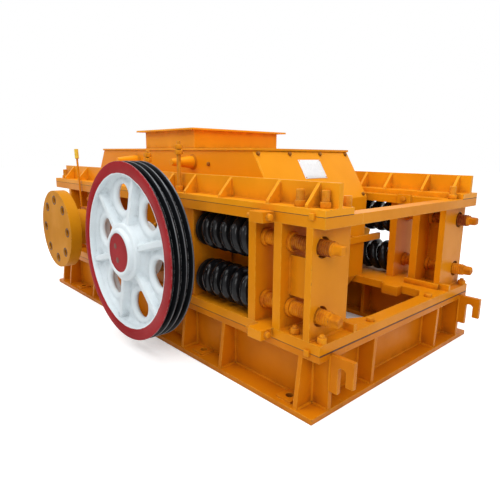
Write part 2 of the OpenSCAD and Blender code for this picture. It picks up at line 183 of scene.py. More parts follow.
def speckle(tree, scale, detail=3.0, stretch=(1.0, 1.0, 1.0)):
    """Noise fixed to the piece itself, so that it turns and slides with it."""
    place = node(tree, "ShaderNodeTexCoord").outputs["Object"]
    spread = node(tree, "ShaderNodeMapping", {"Vector": place, "Scale": stretch}).outputs[0]
    given = {"Vector": spread, "Scale": scale, "Detail": detail}
    return node(tree, "ShaderNodeTexNoise", given).outputs["Fac"]


# Rounded edges: the plates' flame-cut edges are ground off by a millimetre or two.
rounded_edges, given, gives = effect_group(
    "rounded_edges", [("Radius", "NodeSocketFloat", 0.002)], [("Normal", "NodeSocketVector")]
)
easing = node(rounded_edges, "ShaderNodeBevel", {"Radius": given.outputs["Radius"]}, samples=6)
wired(gives, {"Normal": easing.outputs[0]})

# Edge wear and highlight: the paint is thin on outer edges, and there it is rubbed lighter or chipped; the
# lighter edges are also a painted highlight.
edge_wear_and_highlight, given, gives = effect_group(
    "edge_wear_and_highlight",
    [("Radius", "NodeSocketFloat", 0.004), ("Scale", "NodeSocketFloat", 60.0)],
    [("Rubbed_And_Highlit", "NodeSocketFloat"), ("Chipped", "NodeSocketFloat")],
)
easing = node(edge_wear_and_highlight, "ShaderNodeBevel", {"Radius": given.outputs["Radius"]}, samples=6)
normals = {0: easing.outputs[0], 1: node(edge_wear_and_highlight, "ShaderNodeNewGeometry").outputs["Normal"]}
turn = node(edge_wear_and_highlight, "ShaderNodeVectorMath", normals, operation="DOT_PRODUCT")
on_edge = between(turn.outputs["Value"], 0.995, 0.86)
breaks = speckle(edge_wear_and_highlight, given.outputs["Scale"], 4.0)
for label, low, high in (("Rubbed_And_Highlit", 0.38, 0.62), ("Chipped", 0.64, 0.68)):
    wired(gives, {label: times(on_edge, between(breaks, low, high))})

# Sprayed coat: cloudy thickness, fine orange peel, and runs that hang down upright faces.
sprayed_coat, given, gives = effect_group(
    "sprayed_coat",
    [("Cloud Scale", "NodeSocketFloat", 5.0), ("Peel Scale", "NodeSocketFloat", 420.0)],
    [("Cloud", "NodeSocketFloat"), ("Peel", "NodeSocketFloat"), ("Runs", "NodeSocketFloat")],
)
for label, detail in (("Cloud", 5.0), ("Peel", 1.0)):
    wired(gives, {label: speckle(sprayed_coat, given.outputs[label + " Scale"], detail)})
runs = speckle(sprayed_coat, 26.0, 4.0, (1.0, 1.0, 0.12))
wired(gives, {"Runs": between(runs, 0.42, 0.72)})

# Corner dirt and shade: dust and overspray that settle where plates meet, and a painted shade that darkens
# the same corners by ambient occlusion.
corner_dirt_and_shade, given, gives = effect_group(
    "corner_dirt_and_shade", [("Reach", "NodeSocketFloat", 0.05)], [("Dirt_And_Shade", "NodeSocketFloat")]
)
reach = {"Distance": given.outputs["Reach"]}
nook = node(corner_dirt_and_shade, "ShaderNodeAmbientOcclusion", reach, samples=6)
depth = between(nook.outputs["AO"], 0.75, 0.2)
patchy = between(speckle(corner_dirt_and_shade, 34.0, 5.0), 0.3, 0.62)
wired(gives, {"Dirt_And_Shade": times(depth, patchy)})


def placed_group(tree, group, **values):
    """Puts an effect group into a material with its own values; returns its outputs."""
    given = {label.replace("_", " "): value for label, value in values.items()}
    return node(tree, "ShaderNodeGroup", given, node_tree=group).outputs


def blended(amount, first, second, share=None):
    """Mixes two colours by an amount, or by a share of it; a colour is a socket or a tuple."""
    if share:
        amount = times(amount, share)
    first, second = ((*c, 1.0) if isinstance(c, tuple) else c for c in (first, second))
    colours = {0: amount, 6: first, 7: second}
    return node(amount.id_data, "ShaderNodeMix", colours, data_type="RGBA").outputs[2]


def coated(shader, colour, rough, **given):
    """Gives a material's shader its colour, its roughness and what else is named."""
    named = {label.replace("_", " "): value for label, value in given.items()}
    wired(shader, {"Base Color": colour, "Roughness": rough, **named})


def embossed(shader, height, distance, strength=1.0, radius=None):
    """Raises the surface by a height, over edges eased to a radius where one is given."""
    given = {"Strength": strength, "Distance": distance, "Height": height}
    if radius:
        given["Normal"] = placed_group(shader.id_data, rounded_edges, Radius=radius)["Normal"]
    wired(shader, {"Normal": node(shader.id_data, "ShaderNodeBump", given).outputs[0]})


warm_tint = (1.0, 0.74, 0.38, 1.0)


def enamel(name, colour, shade, light, dirt_and_shade=(0.16, 0.05, 0.012), chip=(0.13, 0.045, 0.02),
           rough=(0.32, 0.48), cloud=5.0, wear=0.004, reach=0.05, relief=0.00012, gloss=0.16):
    """Sprayed enamel on welded plate: cloudy colour, orange peel, thin edges lit by wear and a painted
    highlight, corners darkened by dirt and a painted shade.
    """
    material, tree, shader = bare_material(name)
    film = placed_group(tree, sprayed_coat, Cloud_Scale=cloud)
    edges = placed_group(tree, edge_wear_and_highlight, Radius=wear)
    nooks = placed_group(tree, corner_dirt_and_shade, Reach=reach)
    body = blended(between(film["Cloud"], 0.35, 0.68), colour, shade)
    hung = blended(film["Runs"], body, shade, 0.22)
    # Dirt and painted shade darken the corners.
    soiled_and_shaded = blended(nooks["Dirt_And_Shade"], hung, dirt_and_shade, 0.75)
    # Worn paint and a painted highlight lighten the edges.
    thin = blended(edges["Rubbed_And_Highlit"], soiled_and_shaded, light, 0.55)
    finish = blended(edges["Chipped"], thin, chip, 0.7)
    dull = between(film["Cloud"], 0.3, 0.7, *rough)
    dull = calculated("ADD", dull, times(nooks["Dirt_And_Shade"], 0.35))
    coated(shader, finish, dull, Specular_IOR_Level=gloss, Specular_Tint=warm_tint)
    embossed(shader, film["Peel"], relief, 0.6, 0.0025)
    return material


# Painted shade: this copy of the orange enamel is darker and redder than the frame's, for the shade low on
# the base.
shaded_base_orange = enamel(
    "base_orange_enamel", (0.70, 0.215, 0.0032), (0.58, 0.165, 0.0022), (0.94, 0.48, 0.05)
)


def painted(material, *starts):
    """Gives a finish to every CAD node whose name starts as given."""
    for name, steel in steelwork.items():
        if name.startswith(starts):
            for place in steel.material_slots:
                place.material = material


painted(shaded_base_orange, "base_beam", "base_end", "lifting_hook")


def full_turn(count, first=0.0):
    """The angles of a full turn in equal steps."""
    return [math.tau * (k + first) / count for k in range(count)]


def skinned(metal, rings):
    """Joins rings of points, one after another, into a closed skin."""
    rows = [[metal.verts.new(point) for point in ring] for ring in rings]
    count = len(rows[0])
    for low, high in zip(rows, rows[1:]):
        for i in range(count):
            after = (i + 1) % count
            metal.faces.new((low[i], low[after], high[after], high[i]))
    metal.faces.new(list(reversed(rows[0])))
    metal.faces.new(rows[-1])


def finished(name, metal, material, body="frame", smooth=40.0):
    """Turns worked metal into a piece that rides on a body of the machine."""
    bmesh.ops.recalc_face_normals(metal, faces=metal.faces)
    mesh = bpy.data.meshes.new(name)
    metal.to_mesh(mesh)
    metal.free()
    mesh.materials.append(material)
    mesh.shade_smooth()
    mesh.set_sharp_from_angle(angle=math.radians(smooth))
    piece = bpy.data.objects.new(name, mesh)
    scene.collection.objects.link(piece)
    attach(piece, body)
    return piece


def axis_of(direction):
    """A direction's unit vector, and the spokes square to it as a function of their angle."""
    along = Vector(direction).normalized()
    side = along.orthogonal().normalized()
    other = along.cross(side)
    return along, lambda a: side * math.cos(a) + other * math.sin(a)


def weld_bead(metal, start, end, leg=0.005):
    """A fillet weld with the ripples of each short stop of the rod."""
    start, end = Vector(start), Vector(end)
    along, spoke = axis_of(end - start)
    length = (end - start).length
    count = max(4, int(length / 0.0028))
    rings = []
    for i in range(count + 1):
        far = length * i / count
        ripple = 0.82 + 0.18 * abs(math.sin(math.pi * far / 0.0084))
        wander = 1 + 0.16 * noise.noise(start * 9 + along * far * 40)
        size = leg * ripple * wander * (0.55 if i in (0, count) else 1.0)
        rings.append([
            start + along * far + size * spoke(a)
            for a in full_turn(8)
        ])
    skinned(metal, rings)


def face_of(name, end, axis):
    """Where one face of a CAD node's box lies: end 0 is the low one, axis 0 is X."""
    return round(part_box(name)[end][axis], 4)


def middle_of(name, axis):
    """The middle of a CAD node's box along one axis."""
    low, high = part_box(name)
    return round((low[axis] + high[axis]) / 2, 4)


weld_orange = enamel(
    "weld_orange_enamel", (0.76, 0.255, 0.0040), (0.56, 0.165, 0.0025), (0.94, 0.48, 0.05),
    reach=0.02, wear=0.0015,
)

sides = (("front", -1), ("back", 1))
base_left = face_of("base_beam_front", 0, 0)
base_right = face_of("base_beam_front", 1, 0)
base_top = face_of("base_beam_front", 1, 2)
base_middle = middle_of("base_beam_front", 0)
end_web = 0.843
web_face = face_of("lifting_hook_back", 1, 1)
hook_root = face_of("lifting_hook_back", 0, 0)
foot_top = 0.016
head_under = 0.165
half_stiffener = 0.007
bead_gap = 0.002
stiffener_x = (-0.888, -0.795, -0.507, -0.227, 0.043, 0.255, 0.470, 0.798)
for side, sign in sides:
    metal = bmesh.new()
    web = web_face * sign
    clear = (web_face + bead_gap) * sign
    for x in stiffener_x:
        for face in (x - half_stiffener, x + half_stiffener):
            weld_bead(metal, (face, web, foot_top + bead_gap), (face, web, head_under - bead_gap))
            weld_bead(metal, (face, clear, foot_top), (face, 0.463 * sign, foot_top))
            weld_bead(metal, (face, clear, head_under), (face, 0.445 * sign, head_under), 0.004)
    for z in (foot_top, head_under):
        weld_bead(metal, (base_left + 0.006, web, z), (base_right - 0.006, web, z), 0.004)
    finished(f"base_beam_welds_{side}", metal, weld_orange)

metal = bmesh.new()
for way in (-1, 1):
    web = base_middle + way * end_web
    for y in (-0.182, 0.222):
        for face in (y - half_stiffener, y + half_stiffener):
            weld_bead(metal, (web, face, foot_top + bead_gap), (web, face, head_under - bead_gap))
            weld_bead(metal, (web, face, foot_top), (web + way * 0.050, face, foot_top))
    weld_bead(metal, (web, -0.38, foot_top), (web, 0.38, foot_top), 0.004)
finished("base_end_welds", metal, weld_orange)

metal = bmesh.new()
for sign in (-1, 1):
    for y in (web_face, web_face - 2 * half_stiffener):
        weld_bead(metal, (hook_root, y * sign, 0.075), (hook_root, y * sign, 0.178), 0.004)
finished("lifting_hook_welds", metal, weld_orange)


# ------------ rails and top beams
# Thick flat bars lie on the base frame and over the columns, and each top bar carries a plate
# with an upright rib-stiffened web. Near-black strips in the joints paint their gaps' shade; studs tie
# them down.
frame_orange = enamel(
    "frame_orange_enamel", (0.79, 0.280, 0.0045), (0.68, 0.220, 0.0030), (0.94, 0.50, 0.05)
)
# Painted light: the top beams' copy of the orange enamel is lighter and yellower than the frame's.
lit_beam_orange = enamel(
    "beam_orange_enamel", (0.90, 0.345, 0.0080), (0.79, 0.285, 0.0050), (0.98, 0.60, 0.10)
)
painted(frame_orange, "lower_rail", "lower_cross_bars", "top_rail", "top_cross_bars")
painted(lit_beam_orange, "top_beam")

# Painted shade: the strips are near black, for the shaded gaps of the joints.
gap_shade, tree, shader = bare_material("joint_gap_shade")
grit = speckle(tree, 90.0, 6.0)
gap_dark = blended(between(grit, 0.35, 0.65), (0.030, 0.010, 0.004), (0.11, 0.034, 0.006))
coated(shader, gap_dark, between(grit, 0.3, 0.7, 0.55, 0.85))
embossed(shader, grit, 0.0004)


def gap_shade_strip(metal, start, end, outward, thick, height):
    """A thin strip along a joint, with a slightly uneven edge, that carries the painted shade of the gap.
    """
    start, end, outward = Vector(start), Vector(end), Vector(outward)
    along = (end - start).normalized()
    length = (end - start).length
    count = max(6, int(length / 0.02))
    half = Vector((0, 0, height / 2))
    rings = []
    for i in range(count + 1):
        at = start + along * length * i / count
        proud = thick * (1 + 0.5 * noise.noise(at * 31))
        rings.append([
            at - outward * 0.004 - half,
            at + outward * proud - half,
            at + outward * proud * 1.2,
            at + outward * proud + half,
            at - outward * 0.004 + half,
        ])
    skinned(metal, rings)


rail_left = face_of("lower_rail_front", 0, 0)
rail_right = face_of("lower_rail_front", 1, 0)
rail_top = face_of("lower_rail_front", 1, 2)
beam_side = face_of("top_beam_back", 1, 1)
beam_foot = face_of("top_beam_back", 0, 2)
plate_top = round(beam_foot + 0.018, 4)
for side, sign in sides:
    metal = bmesh.new()
    y = beam_side * sign
    for z, height in ((base_top, 0.0014), (beam_foot, 0.0012)):
        gap_shade_strip(metal, (rail_left, y, z), (rail_right, y, z), (0, sign, 0), 0.0004, height)
    finished(f"joint_gap_shade_{side}", metal, gap_shade)
metal = bmesh.new()
strip_y = beam_side - 0.001
for x, way, thick, height in ((rail_right, 1, 0.0005, 0.0042), (rail_left, -1, 0.0004, 0.0024)):
    gap_shade_strip(metal, (x, -strip_y, base_top), (x, strip_y, base_top), (way, 0, 0), thick, height)
for sign in (-1, 1):
    outer = (rail_right, strip_y * sign, beam_foot)
    inner = (rail_right, 0.332 * sign, beam_foot)
    gap_shade_strip(metal, outer, inner, (1, 0, 0), 0.0004, 0.0018)
finished("joint_gap_shade_ends", metal, gap_shade)

beam_web = (0.397, 0.383)
half_rib = 0.005
outer_rib_x = (-0.813, -0.649, -0.407, -0.147, 0.118, 0.255, 0.444, 0.655, 0.796)
inner_rib_x = (-0.878, -0.757, -0.597, -0.347, -0.087, 0.173, 0.425, 0.541, 0.701, 0.816)
for side, sign in sides:
    metal = bmesh.new()
    ribs = ((outer_rib_x, beam_web[0], bead_gap, 0.443), (inner_rib_x, beam_web[1], -bead_gap, 0.337))
    for rib_x, web, gap, far in ribs:
        for x in rib_x:
            for face in (x - half_rib, x + half_rib):
                foot = (face, web * sign, plate_top + bead_gap)
                weld_bead(metal, foot, (face, web * sign, 0.622), 0.0032)
                near = (face, (web + gap) * sign, plate_top)
                weld_bead(metal, near, (face, far * sign, plate_top), 0.0032)
    for web in beam_web:
        weld_bead(metal, (-0.918, web * sign, plate_top), (0.858, web * sign, plate_top), 0.003)
    finished(f"top_beam_welds_{side}", metal, weld_orange)


def turned(metal, foot, direction, profile, around=24):
    """A turned shape: pairs of distance along the axis and radius."""
    along, spoke = axis_of(direction)
    foot = Vector(foot)
    skinned(metal, [
        [
            foot + along * far + radius * spoke(a)
            for a in full_turn(around)
        ]
        for far, radius in profile
    ])


def hexagon(metal, foot, direction, flats, height, twist=0.0):
    """A hexagon nut or bolt head with its corners turned off at both ends."""
    along, spoke = axis_of(direction)
    foot = Vector(foot)
    rings = []
    for far, limit in ((0.0, 0.5), (0.06, 0.53), (0.14, 1.0), (0.86, 1.0), (0.94, 0.53), (1.0, 0.48)):
        ring = []
        for a in full_turn(24):
            corner = 0.5 / math.cos((a % (math.pi / 3)) - math.pi / 6)
            ring.append(foot + along * far * height + flats * min(corner, limit) * spoke(a + twist))
        rings.append(ring)
    skinned(metal, rings)


def threaded(metal, foot, direction, length, radius, pitch, depth, around=20):
    """A threaded rod: one helical groove all the way, with a turned-off tip at both ends."""
    along, spoke = axis_of(direction)
    foot = Vector(foot)
    count = max(6, int(length / pitch * 6))
    rings = []
    for i in range(count + 1):
        far = length * i / count
        tip = min(1.0, min(far, length - far) / pitch)
        ring = []
        for k, a in enumerate(full_turn(around)):
            groove = abs(2 * ((far / pitch - k / around) % 1.0) - 1)
            here = radius - depth * groove - 0.6 * depth * (1 - tip)
            ring.append(foot + along * far + here * spoke(a))
        rings.append(ring)
    skinned(metal, rings)


fastener_orange = enamel(
    "fastener_orange_enamel", (0.84, 0.32, 0.012), (0.62, 0.195, 0.006), (0.97, 0.60, 0.14),
    chip=(0.12, 0.050, 0.022), wear=0.0022, reach=0.015, cloud=28.0,
)


def stud_with_nuts(metal, foot, length, nuts, radius=0.0078, flats=0.026):
    """A stud standing on a plate; each nut is a height and 1 where a washer lies under it."""
    foot = Vector(foot)
    up = Vector((0, 0, 1))
    threaded(metal, foot, up, length, radius, 0.0036, 0.0013)
    disc = [(0, flats * 0.6), (0.0008, flats * 0.64), (0.0034, flats * 0.64), (0.004, flats * 0.61)]
    for height, washer in nuts:
        if washer:
            turned(metal, foot + up * height, up, disc)
        hexagon(metal, foot + up * (height + 0.004 * washer), up, flats, 0.016, 0.4 + height * 9)


# Two studs at the front stand tall, with their upper nuts run up; the back's are short.
short_stud = (0.046, [(0.0, 1), (0.018, 0)])
plate_studs = {
    "front": ((0.174, [(0.0, 1), (0.128, 0), (0.147, 0)]), (0.143, [(0.0, 1), (0.098, 0), (0.117, 0)])),
    "back": (short_stud, short_stud),
}
end_studs = (
    (0.756, 0.423, plate_top), (0.826, 0.405, plate_top), (-0.874, 0.420, plate_top),
    (0.829, 0.316, beam_foot),
)
lug_y = 0.471
for side, sign in sides:
    metal = bmesh.new()
    for x, (length, nuts) in zip((0.178, -0.037), plate_studs[side]):
        stud_with_nuts(metal, (x, 0.413 * sign, plate_top), length, nuts)
    for x, y, z in end_studs:
        stud_with_nuts(metal, (x, y * sign, z), 0.045, [(0.0, 0)], 0.0120, 0.028)
    for x, y in ((0.758, 0.429), (0.850, 0.426), (-0.846, 0.426)):
        stud_with_nuts(metal, (x, y * sign, rail_top), 0.023, [(0.0, 0)], 0.008, 0.025)
    hexagon(metal, (0.661, 0.279 * sign, 0.536), (0, -sign, 0), 0.019, 0.009, 0.2)
    # Bolts along the machine through the lugs of both rails: head, washers, nut and thread.
    for z in (0.1995, 0.533):
        y = lug_y * sign
        turned(metal, (0.688, y, z), (1, 0, 0), [(0, 0.0108), (0.002, 0.0108), (0.0022, 0.0102)])
        hexagon(metal, (0.690, y, z), (1, 0, 0), 0.0165, 0.008, 0.3)
        turned(metal, (0.634, y, z), (-1, 0, 0), [(0, 0.0125), (0.002, 0.0125), (0.0022, 0.012)])
        hexagon(metal, (0.632, y, z), (-1, 0, 0), 0.019, 0.011, 0.1)
        threaded(metal, (0.624, y, z), (-1, 0, 0), 0.018, 0.006, 0.0025, 0.0009)
    finished(f"tie_studs_{side}", metal, fastener_orange)

metal = bmesh.new()
hexagon(metal, (0.840, 0.175, rail_top), (0, 0, 1), 0.024, 0.011)
hexagon(metal, (0.840, -0.185, rail_top), (0, 0, 1), 0.024, 0.011, 0.3)
hexagon(metal, (0.514, 0.172, 0.379), (0, 0, 1), 0.009, 0.006, 0.2)
hexagon(metal, (0.514, -0.172, 0.379), (0, 0, 1), 0.009, 0.006, 0.5)
finished("cross_bar_bolts", metal, fastener_orange)


# ------------ columns and pressure plates
# The screws' columns are two plates with a web between, welded to the rails. A thick pressure
# plate bears on the springs and stands loose between the rails, pushed by the two screws.
painted(frame_orange, "end_column", "pressure_plate")


def bar_block(metal, sign, low, high, ease=0.0012):
    """A sawn block with its edges taken off, on the side of the machine that the sign gives."""
    spans = ((low[0], high[0]), sorted((low[1] * sign, high[1] * sign)), (low[2], high[2]))
    corners = bmesh.ops.create_cube(metal, size=1.0)["verts"]
    for corner in corners:
        corner.co = Vector([spans[i][corner.co[i] > 0] for i in range(3)])
    edges = list(dict.fromkeys(edge for corner in corners for edge in corner.link_edges))
    bmesh.ops.bevel(metal, geom=edges, offset=ease, segments=2, affect="EDGES", profile=0.5)


# The rail's inner block, the strip at the column's foot, and the small lugs of both joints.
column_strips = [
    ((0.650, 0.192, 0.178), (0.712, 0.2235, 0.2145)),
    ((0.690, 0.277, 0.2138), (0.825, 0.2888, 0.234)),
    ((0.814, 0.4485, 0.5390), (0.830, 0.4570, 0.5560)),
    ((0.814, 0.4485, 0.1760), (0.830, 0.4570, 0.1930)),
]
# The back column's web runs its full height.
web_fills = [
    ((0.7165, 0.398, 0.2135), (0.8035, 0.412, 0.3135)),
    ((0.7165, 0.398, 0.4265), (0.8035, 0.412, 0.5185)),
]
for side, sign in sides:
    metal = bmesh.new()
    for low, high in column_strips + (web_fills if side == "back" else []):
        bar_block(metal, sign, low, high)
    finished(f"column_strips_{side}", metal, frame_orange)

column_top = face_of("end_column_back", 1, 2)
for side, sign in sides:
    metal = bmesh.new()
    outer = 0.447 * sign
    for x, inner in ((0.688, 0.312), (0.717, 0.312), (0.803, 0.290), (0.825, 0.290), (-0.741, 0.290)):
        for z, leg in ((rail_top, 0.005), (column_top, 0.004)):
            weld_bead(metal, (x, outer, z), (x, inner * sign, z), leg)
    for y in (0.412, 0.398):
        for x in (0.717, 0.803):
            weld_bead(metal, (x, y * sign, 0.315), (x, y * sign, 0.425), 0.004)
    finished(f"column_welds_{side}", metal, weld_orange)


# ------------ adjusting screws
# Four heavy threaded bars that set the gap between the rolls. Each runs through a collar in its
# column, and the forged square end takes the spanner. Overspray covers rust-brown steel.
def own_place(tree):
    """The X, Y and Z of a point on the piece itself, which turn and slide with it."""
    place = node(tree, "ShaderNodeTexCoord").outputs["Object"]
    return node(tree, "ShaderNodeSeparateXYZ", {0: place}).outputs


screw_start = face_of("adjusting_screws_back", 0, 0)
screw_y = middle_of("adjusting_screws_back", 1)
square_start = 0.860
screw_steel, tree, shader = bare_material("painted_thread")
film = placed_group(tree, sprayed_coat, Cloud_Scale=24.0)
edges = placed_group(tree, edge_wear_and_highlight, Radius=0.0018, Scale=120.0)
nooks = placed_group(tree, corner_dirt_and_shade, Reach=0.007)
coat = blended(between(film["Cloud"], 0.42, 0.62), (0.74, 0.250, 0.006), (0.50, 0.135, 0.007))
# The upper screws' thread, between the column's web and the square end, is dark red-brown in patches:
# rust, and painted shade for the shadow between the columns.
rust_and_shade = between(speckle(tree, 40.0, 4.0), 0.34, 0.60, 0.95, 0.50)
where = own_place(tree)
for axis, test, limit in ((2, "GREATER_THAN", 0.37), (0, "GREATER_THAN", 0.7295), (0, "LESS_THAN", 0.858)):
    rust_and_shade = times(rust_and_shade, calculated(test, where[axis], limit))
coat = blended(rust_and_shade, coat, (0.19, 0.032, 0.010))
# Dirt and painted shade darken the thread's grooves and corners.
soiled_and_shaded = blended(nooks["Dirt_And_Shade"], coat, (0.085, 0.026, 0.012), 0.9)
# Worn paint and a painted highlight lighten the edges.
bare = blended(edges["Rubbed_And_Highlit"], soiled_and_shaded, (0.90, 0.42, 0.05), 0.5)
chipped = blended(edges["Chipped"], bare, (0.16, 0.07, 0.035))
dull = between(film["Cloud"], 0.3, 0.7, 0.38, 0.62)
coated(shader, chipped, dull, Specular_IOR_Level=0.12, Specular_Tint=warm_tint)
embossed(shader, film["Cloud"], 0.0003)

foot_collar = [(0, 0.026), (0.002, 0.0275), (0.012, 0.0275), (0.014, 0.026)]
web_collar = [(0, 0.026), (0.0015, 0.0275), (0.0103, 0.0275), (0.0118, 0.026)]
# The square end: round where it leaves the thread, then four flats with cut corners.
square_end = (
    (0.0, 0.017, 0.0), (0.003, 0.017, 0.35), (0.006, 0.0130, 1.0), (0.026, 0.0126, 1.0),
    (0.030, 0.0108, 0.9),
)
square_end_turn = {"front": (0.0, 0.33), "back": (0.12, 0.48)}
for side, sign in sides:
    metal = bmesh.new()
    y = screw_y * sign
    for z, twist in zip((0.464, 0.276), square_end_turn[side]):
        threaded(metal, (screw_start, y, z), (1, 0, 0), 0.246, 0.022, 0.0078, 0.0032, 28)
        turned(metal, (screw_start, y, z), (1, 0, 0), foot_collar)
        turned(metal, (0.7172, y, z), (1, 0, 0), web_collar, 40)
        rings = []
        for far, half, squareness in square_end:
            ring = []
            for a in full_turn(32):
                to_flat = half / max(abs(math.cos(a)), abs(math.sin(a)))
                radius = half * (1 - squareness) + min(to_flat, half * 1.30) * squareness
                up, across = math.sin(a + twist), math.cos(a + twist)
                ring.append((square_start + far, y + radius * across, z + radius * up))
            rings.append(ring)
        skinned(metal, rings)
    screws = finished(f"adjusting_screw_set_{side}", metal, screw_steel, "frame", 32.0)
    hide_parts(f"adjusting_screws_{side}")


# ------------ springs
# Two heavy coil springs on each side press the moving roll's bearings towards the fixed roll.
# Round bar coiled hot, the end turns closed and ground flat, dipped in gloss black.
spring_black, tree, shader = bare_material("gloss_black_dip")
film = placed_group(tree, sprayed_coat, Cloud_Scale=18.0, Peel_Scale=260.0)
nooks = placed_group(tree, corner_dirt_and_shade, Reach=0.03)
dip_cloud = between(film["Cloud"], 0.35, 0.65)
dip = blended(dip_cloud, (0.0045, 0.0045, 0.0052), (0.0095, 0.0095, 0.0110))
dusty = blended(nooks["Dirt_And_Shade"], dip, (0.05, 0.042, 0.035), 0.25)
dull = between(film["Cloud"], 0.3, 0.7, 0.11, 0.18)
coated(shader, dusty, dull, Specular_IOR_Level=0.20)
embossed(shader, film["Peel"], 0.0004, 0.35)


def coil_spring(metal, near, far, y, z, outside, bar, turns, closed, seat=0.0003):
    """Round bar wound about X; the closed end turns touch, and the rest share the length."""
    coil_radius = (outside - bar) / 2
    tight = bar + seat
    open_turns = turns - 2 * closed
    pitch = (far - near - bar - 2 * seat - 2 * closed * tight) / open_turns
    steps = int(turns * 72)
    rings = []
    for i in range(steps + 1):
        turn = turns * i / steps
        x = near + seat + bar / 2 + tight * min(turn, closed)
        x += pitch * min(max(turn - closed, 0), open_turns) + tight * max(turn - closed - open_turns, 0)
        a = math.tau * turn
        out = Vector((0, math.cos(a), math.sin(a)))
        middle = Vector((x, y, z)) + coil_radius * out
        # The bar's ends are drawn down a little over the last twelfth of a turn.
        end = min(turn, turns - turn)
        thick = bar / 2 * (1 if end > 0.08 else 0.86 + 0.14 * end / 0.08)
        rings.append([
            middle + thick * (math.cos(b) * out + math.sin(b) * Vector((1, 0, 0)))
            for b in full_turn(28)
        ])
    skinned(metal, rings)


spring_near = 0.328
spring_far = 0.586
for level in ("upper", "lower"):
    for side, sign in sides:
        stands_for = f"spring_{level}_{side}"
        y = middle_of(stands_for, 1)
        z = middle_of(stands_for, 2)
        metal = bmesh.new()
        coil_spring(metal, spring_near, spring_far, y, z, 0.128, 0.034, 5, 0.75)
        spring = finished(f"coil_spring_{level}_{side}", metal, spring_black, "frame", 60.0)
        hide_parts(stands_for)
        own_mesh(spring)


# ------------ bearings
# Cast housings: the fixed pair is bolted to the rails under caps, the other pair slides between
# the rails on planed faces. Oil and dust darken their corners, and a painted shade darkens them further.
bearing_orange, sliding_orange = (
    enamel(
        name, (0.72, 0.235, 0.0040), (0.56, 0.165, 0.0025), (0.90, 0.42, 0.04),
        cloud=9.0, relief=0.0005, reach=0.07,
    )
    for name in ("bearing_orange_enamel", "sliding_bearing_enamel")
)
# The round seats that push into the springs were dipped black with them.
seat_start = 0.3005
tree = sliding_orange.node_tree
shader = tree.nodes["Principled BSDF"]
orange_coat = shader.inputs["Base Color"].links[0].from_socket
on_seat = calculated("GREATER_THAN", own_place(tree)[0], seat_start)
wired(shader, {"Base Color": blended(on_seat, orange_coat, (0.008, 0.008, 0.009))})
painted(bearing_orange, "fixed_bearing")
painted(sliding_orange, "moving_bearing")

axle_z = middle_of("moving_shaft", 2)
fixed_x = middle_of("fixed_roll", 0)
moving_x = middle_of("moving_roll", 0)
bearing_face = face_of("moving_bearing_back", 1, 1)
cover_radius = 0.0815
for side, sign in sides:
    metal = bmesh.new()
    for x in (-0.571, -0.393):
        for y, length, upper in ((0.425, 0.117, 0.076), (0.300, 0.060, 0.018)):
            stud_with_nuts(metal, (x, y * sign, 0.397), length, [(0.0, 1), (upper, 0)], 0.009, 0.027)
    for x in (-0.595, -0.369):
        for y in (0.405, 0.300):
            stud_with_nuts(metal, (x, y * sign, 0.242), 0.034, [(0.0, 1)], 0.009, 0.027)
    finished(f"bearing_cap_studs_{side}", metal, fastener_orange)
    metal = bmesh.new()
    for a in full_turn(6, 0.5):
        x = moving_x + cover_radius * math.cos(a)
        z = axle_z + cover_radius * math.sin(a)
        hexagon(metal, (x, bearing_face * sign, z), (0, sign, 0), 0.013, 0.006, a)
    finished(f"moving_cover_bolts_{side}", metal, fastener_orange, "carriage")


# ------------ rolls and shafts
# Plain crushing rolls of wear-resistant steel on forged shafts. The crushing faces are turned
# and dull; the shafts are bright where they run in the bearings.
roll_face, tree, shader = bare_material("turned_roll_steel")
lines = speckle(tree, 140.0, 3.0, (0.15, 9.0, 0.15))
patches = speckle(tree, 7.0, 5.0)
steel = blended(between(patches, 0.35, 0.65), (0.32, 0.31, 0.30), (0.22, 0.19, 0.17))
rusted = blended(between(patches, 0.60, 0.72), steel, (0.16, 0.075, 0.035))
bare = between(patches, 0.6, 0.72, 1.0, 0.35)
coated(shader, rusted, between(lines, 0.3, 0.7, 0.34, 0.52), Metallic=bare)
embossed(shader, lines, 0.0003)
painted(roll_face, "fixed_roll", "moving_roll")

shaft_bright, tree, shader = bare_material("bright_shaft_steel")
lines = speckle(tree, 300.0, 2.0, (0.2, 6.0, 0.2))
stain = between(speckle(tree, 12.0, 5.0), 0.5, 0.75)
steel = blended(stain, (0.56, 0.56, 0.55), (0.30, 0.22, 0.15))
coated(shader, steel, between(lines, 0.3, 0.7, 0.22, 0.36), Metallic=1.0)
embossed(shader, lines, 0.0001)
painted(shaft_bright, "fixed_shaft", "moving_shaft")


# ------------ belt pulleys
# Cast wheels with three V grooves, six ribs and six holes with raised lips, keyed on the shafts.
# The web is sprayed pale grey, the rim's and the hub's faces red, the grooves are left dark.
outer_face = face_of("drive_pulley_back", 1, 1)
paint_depth = 0.0025


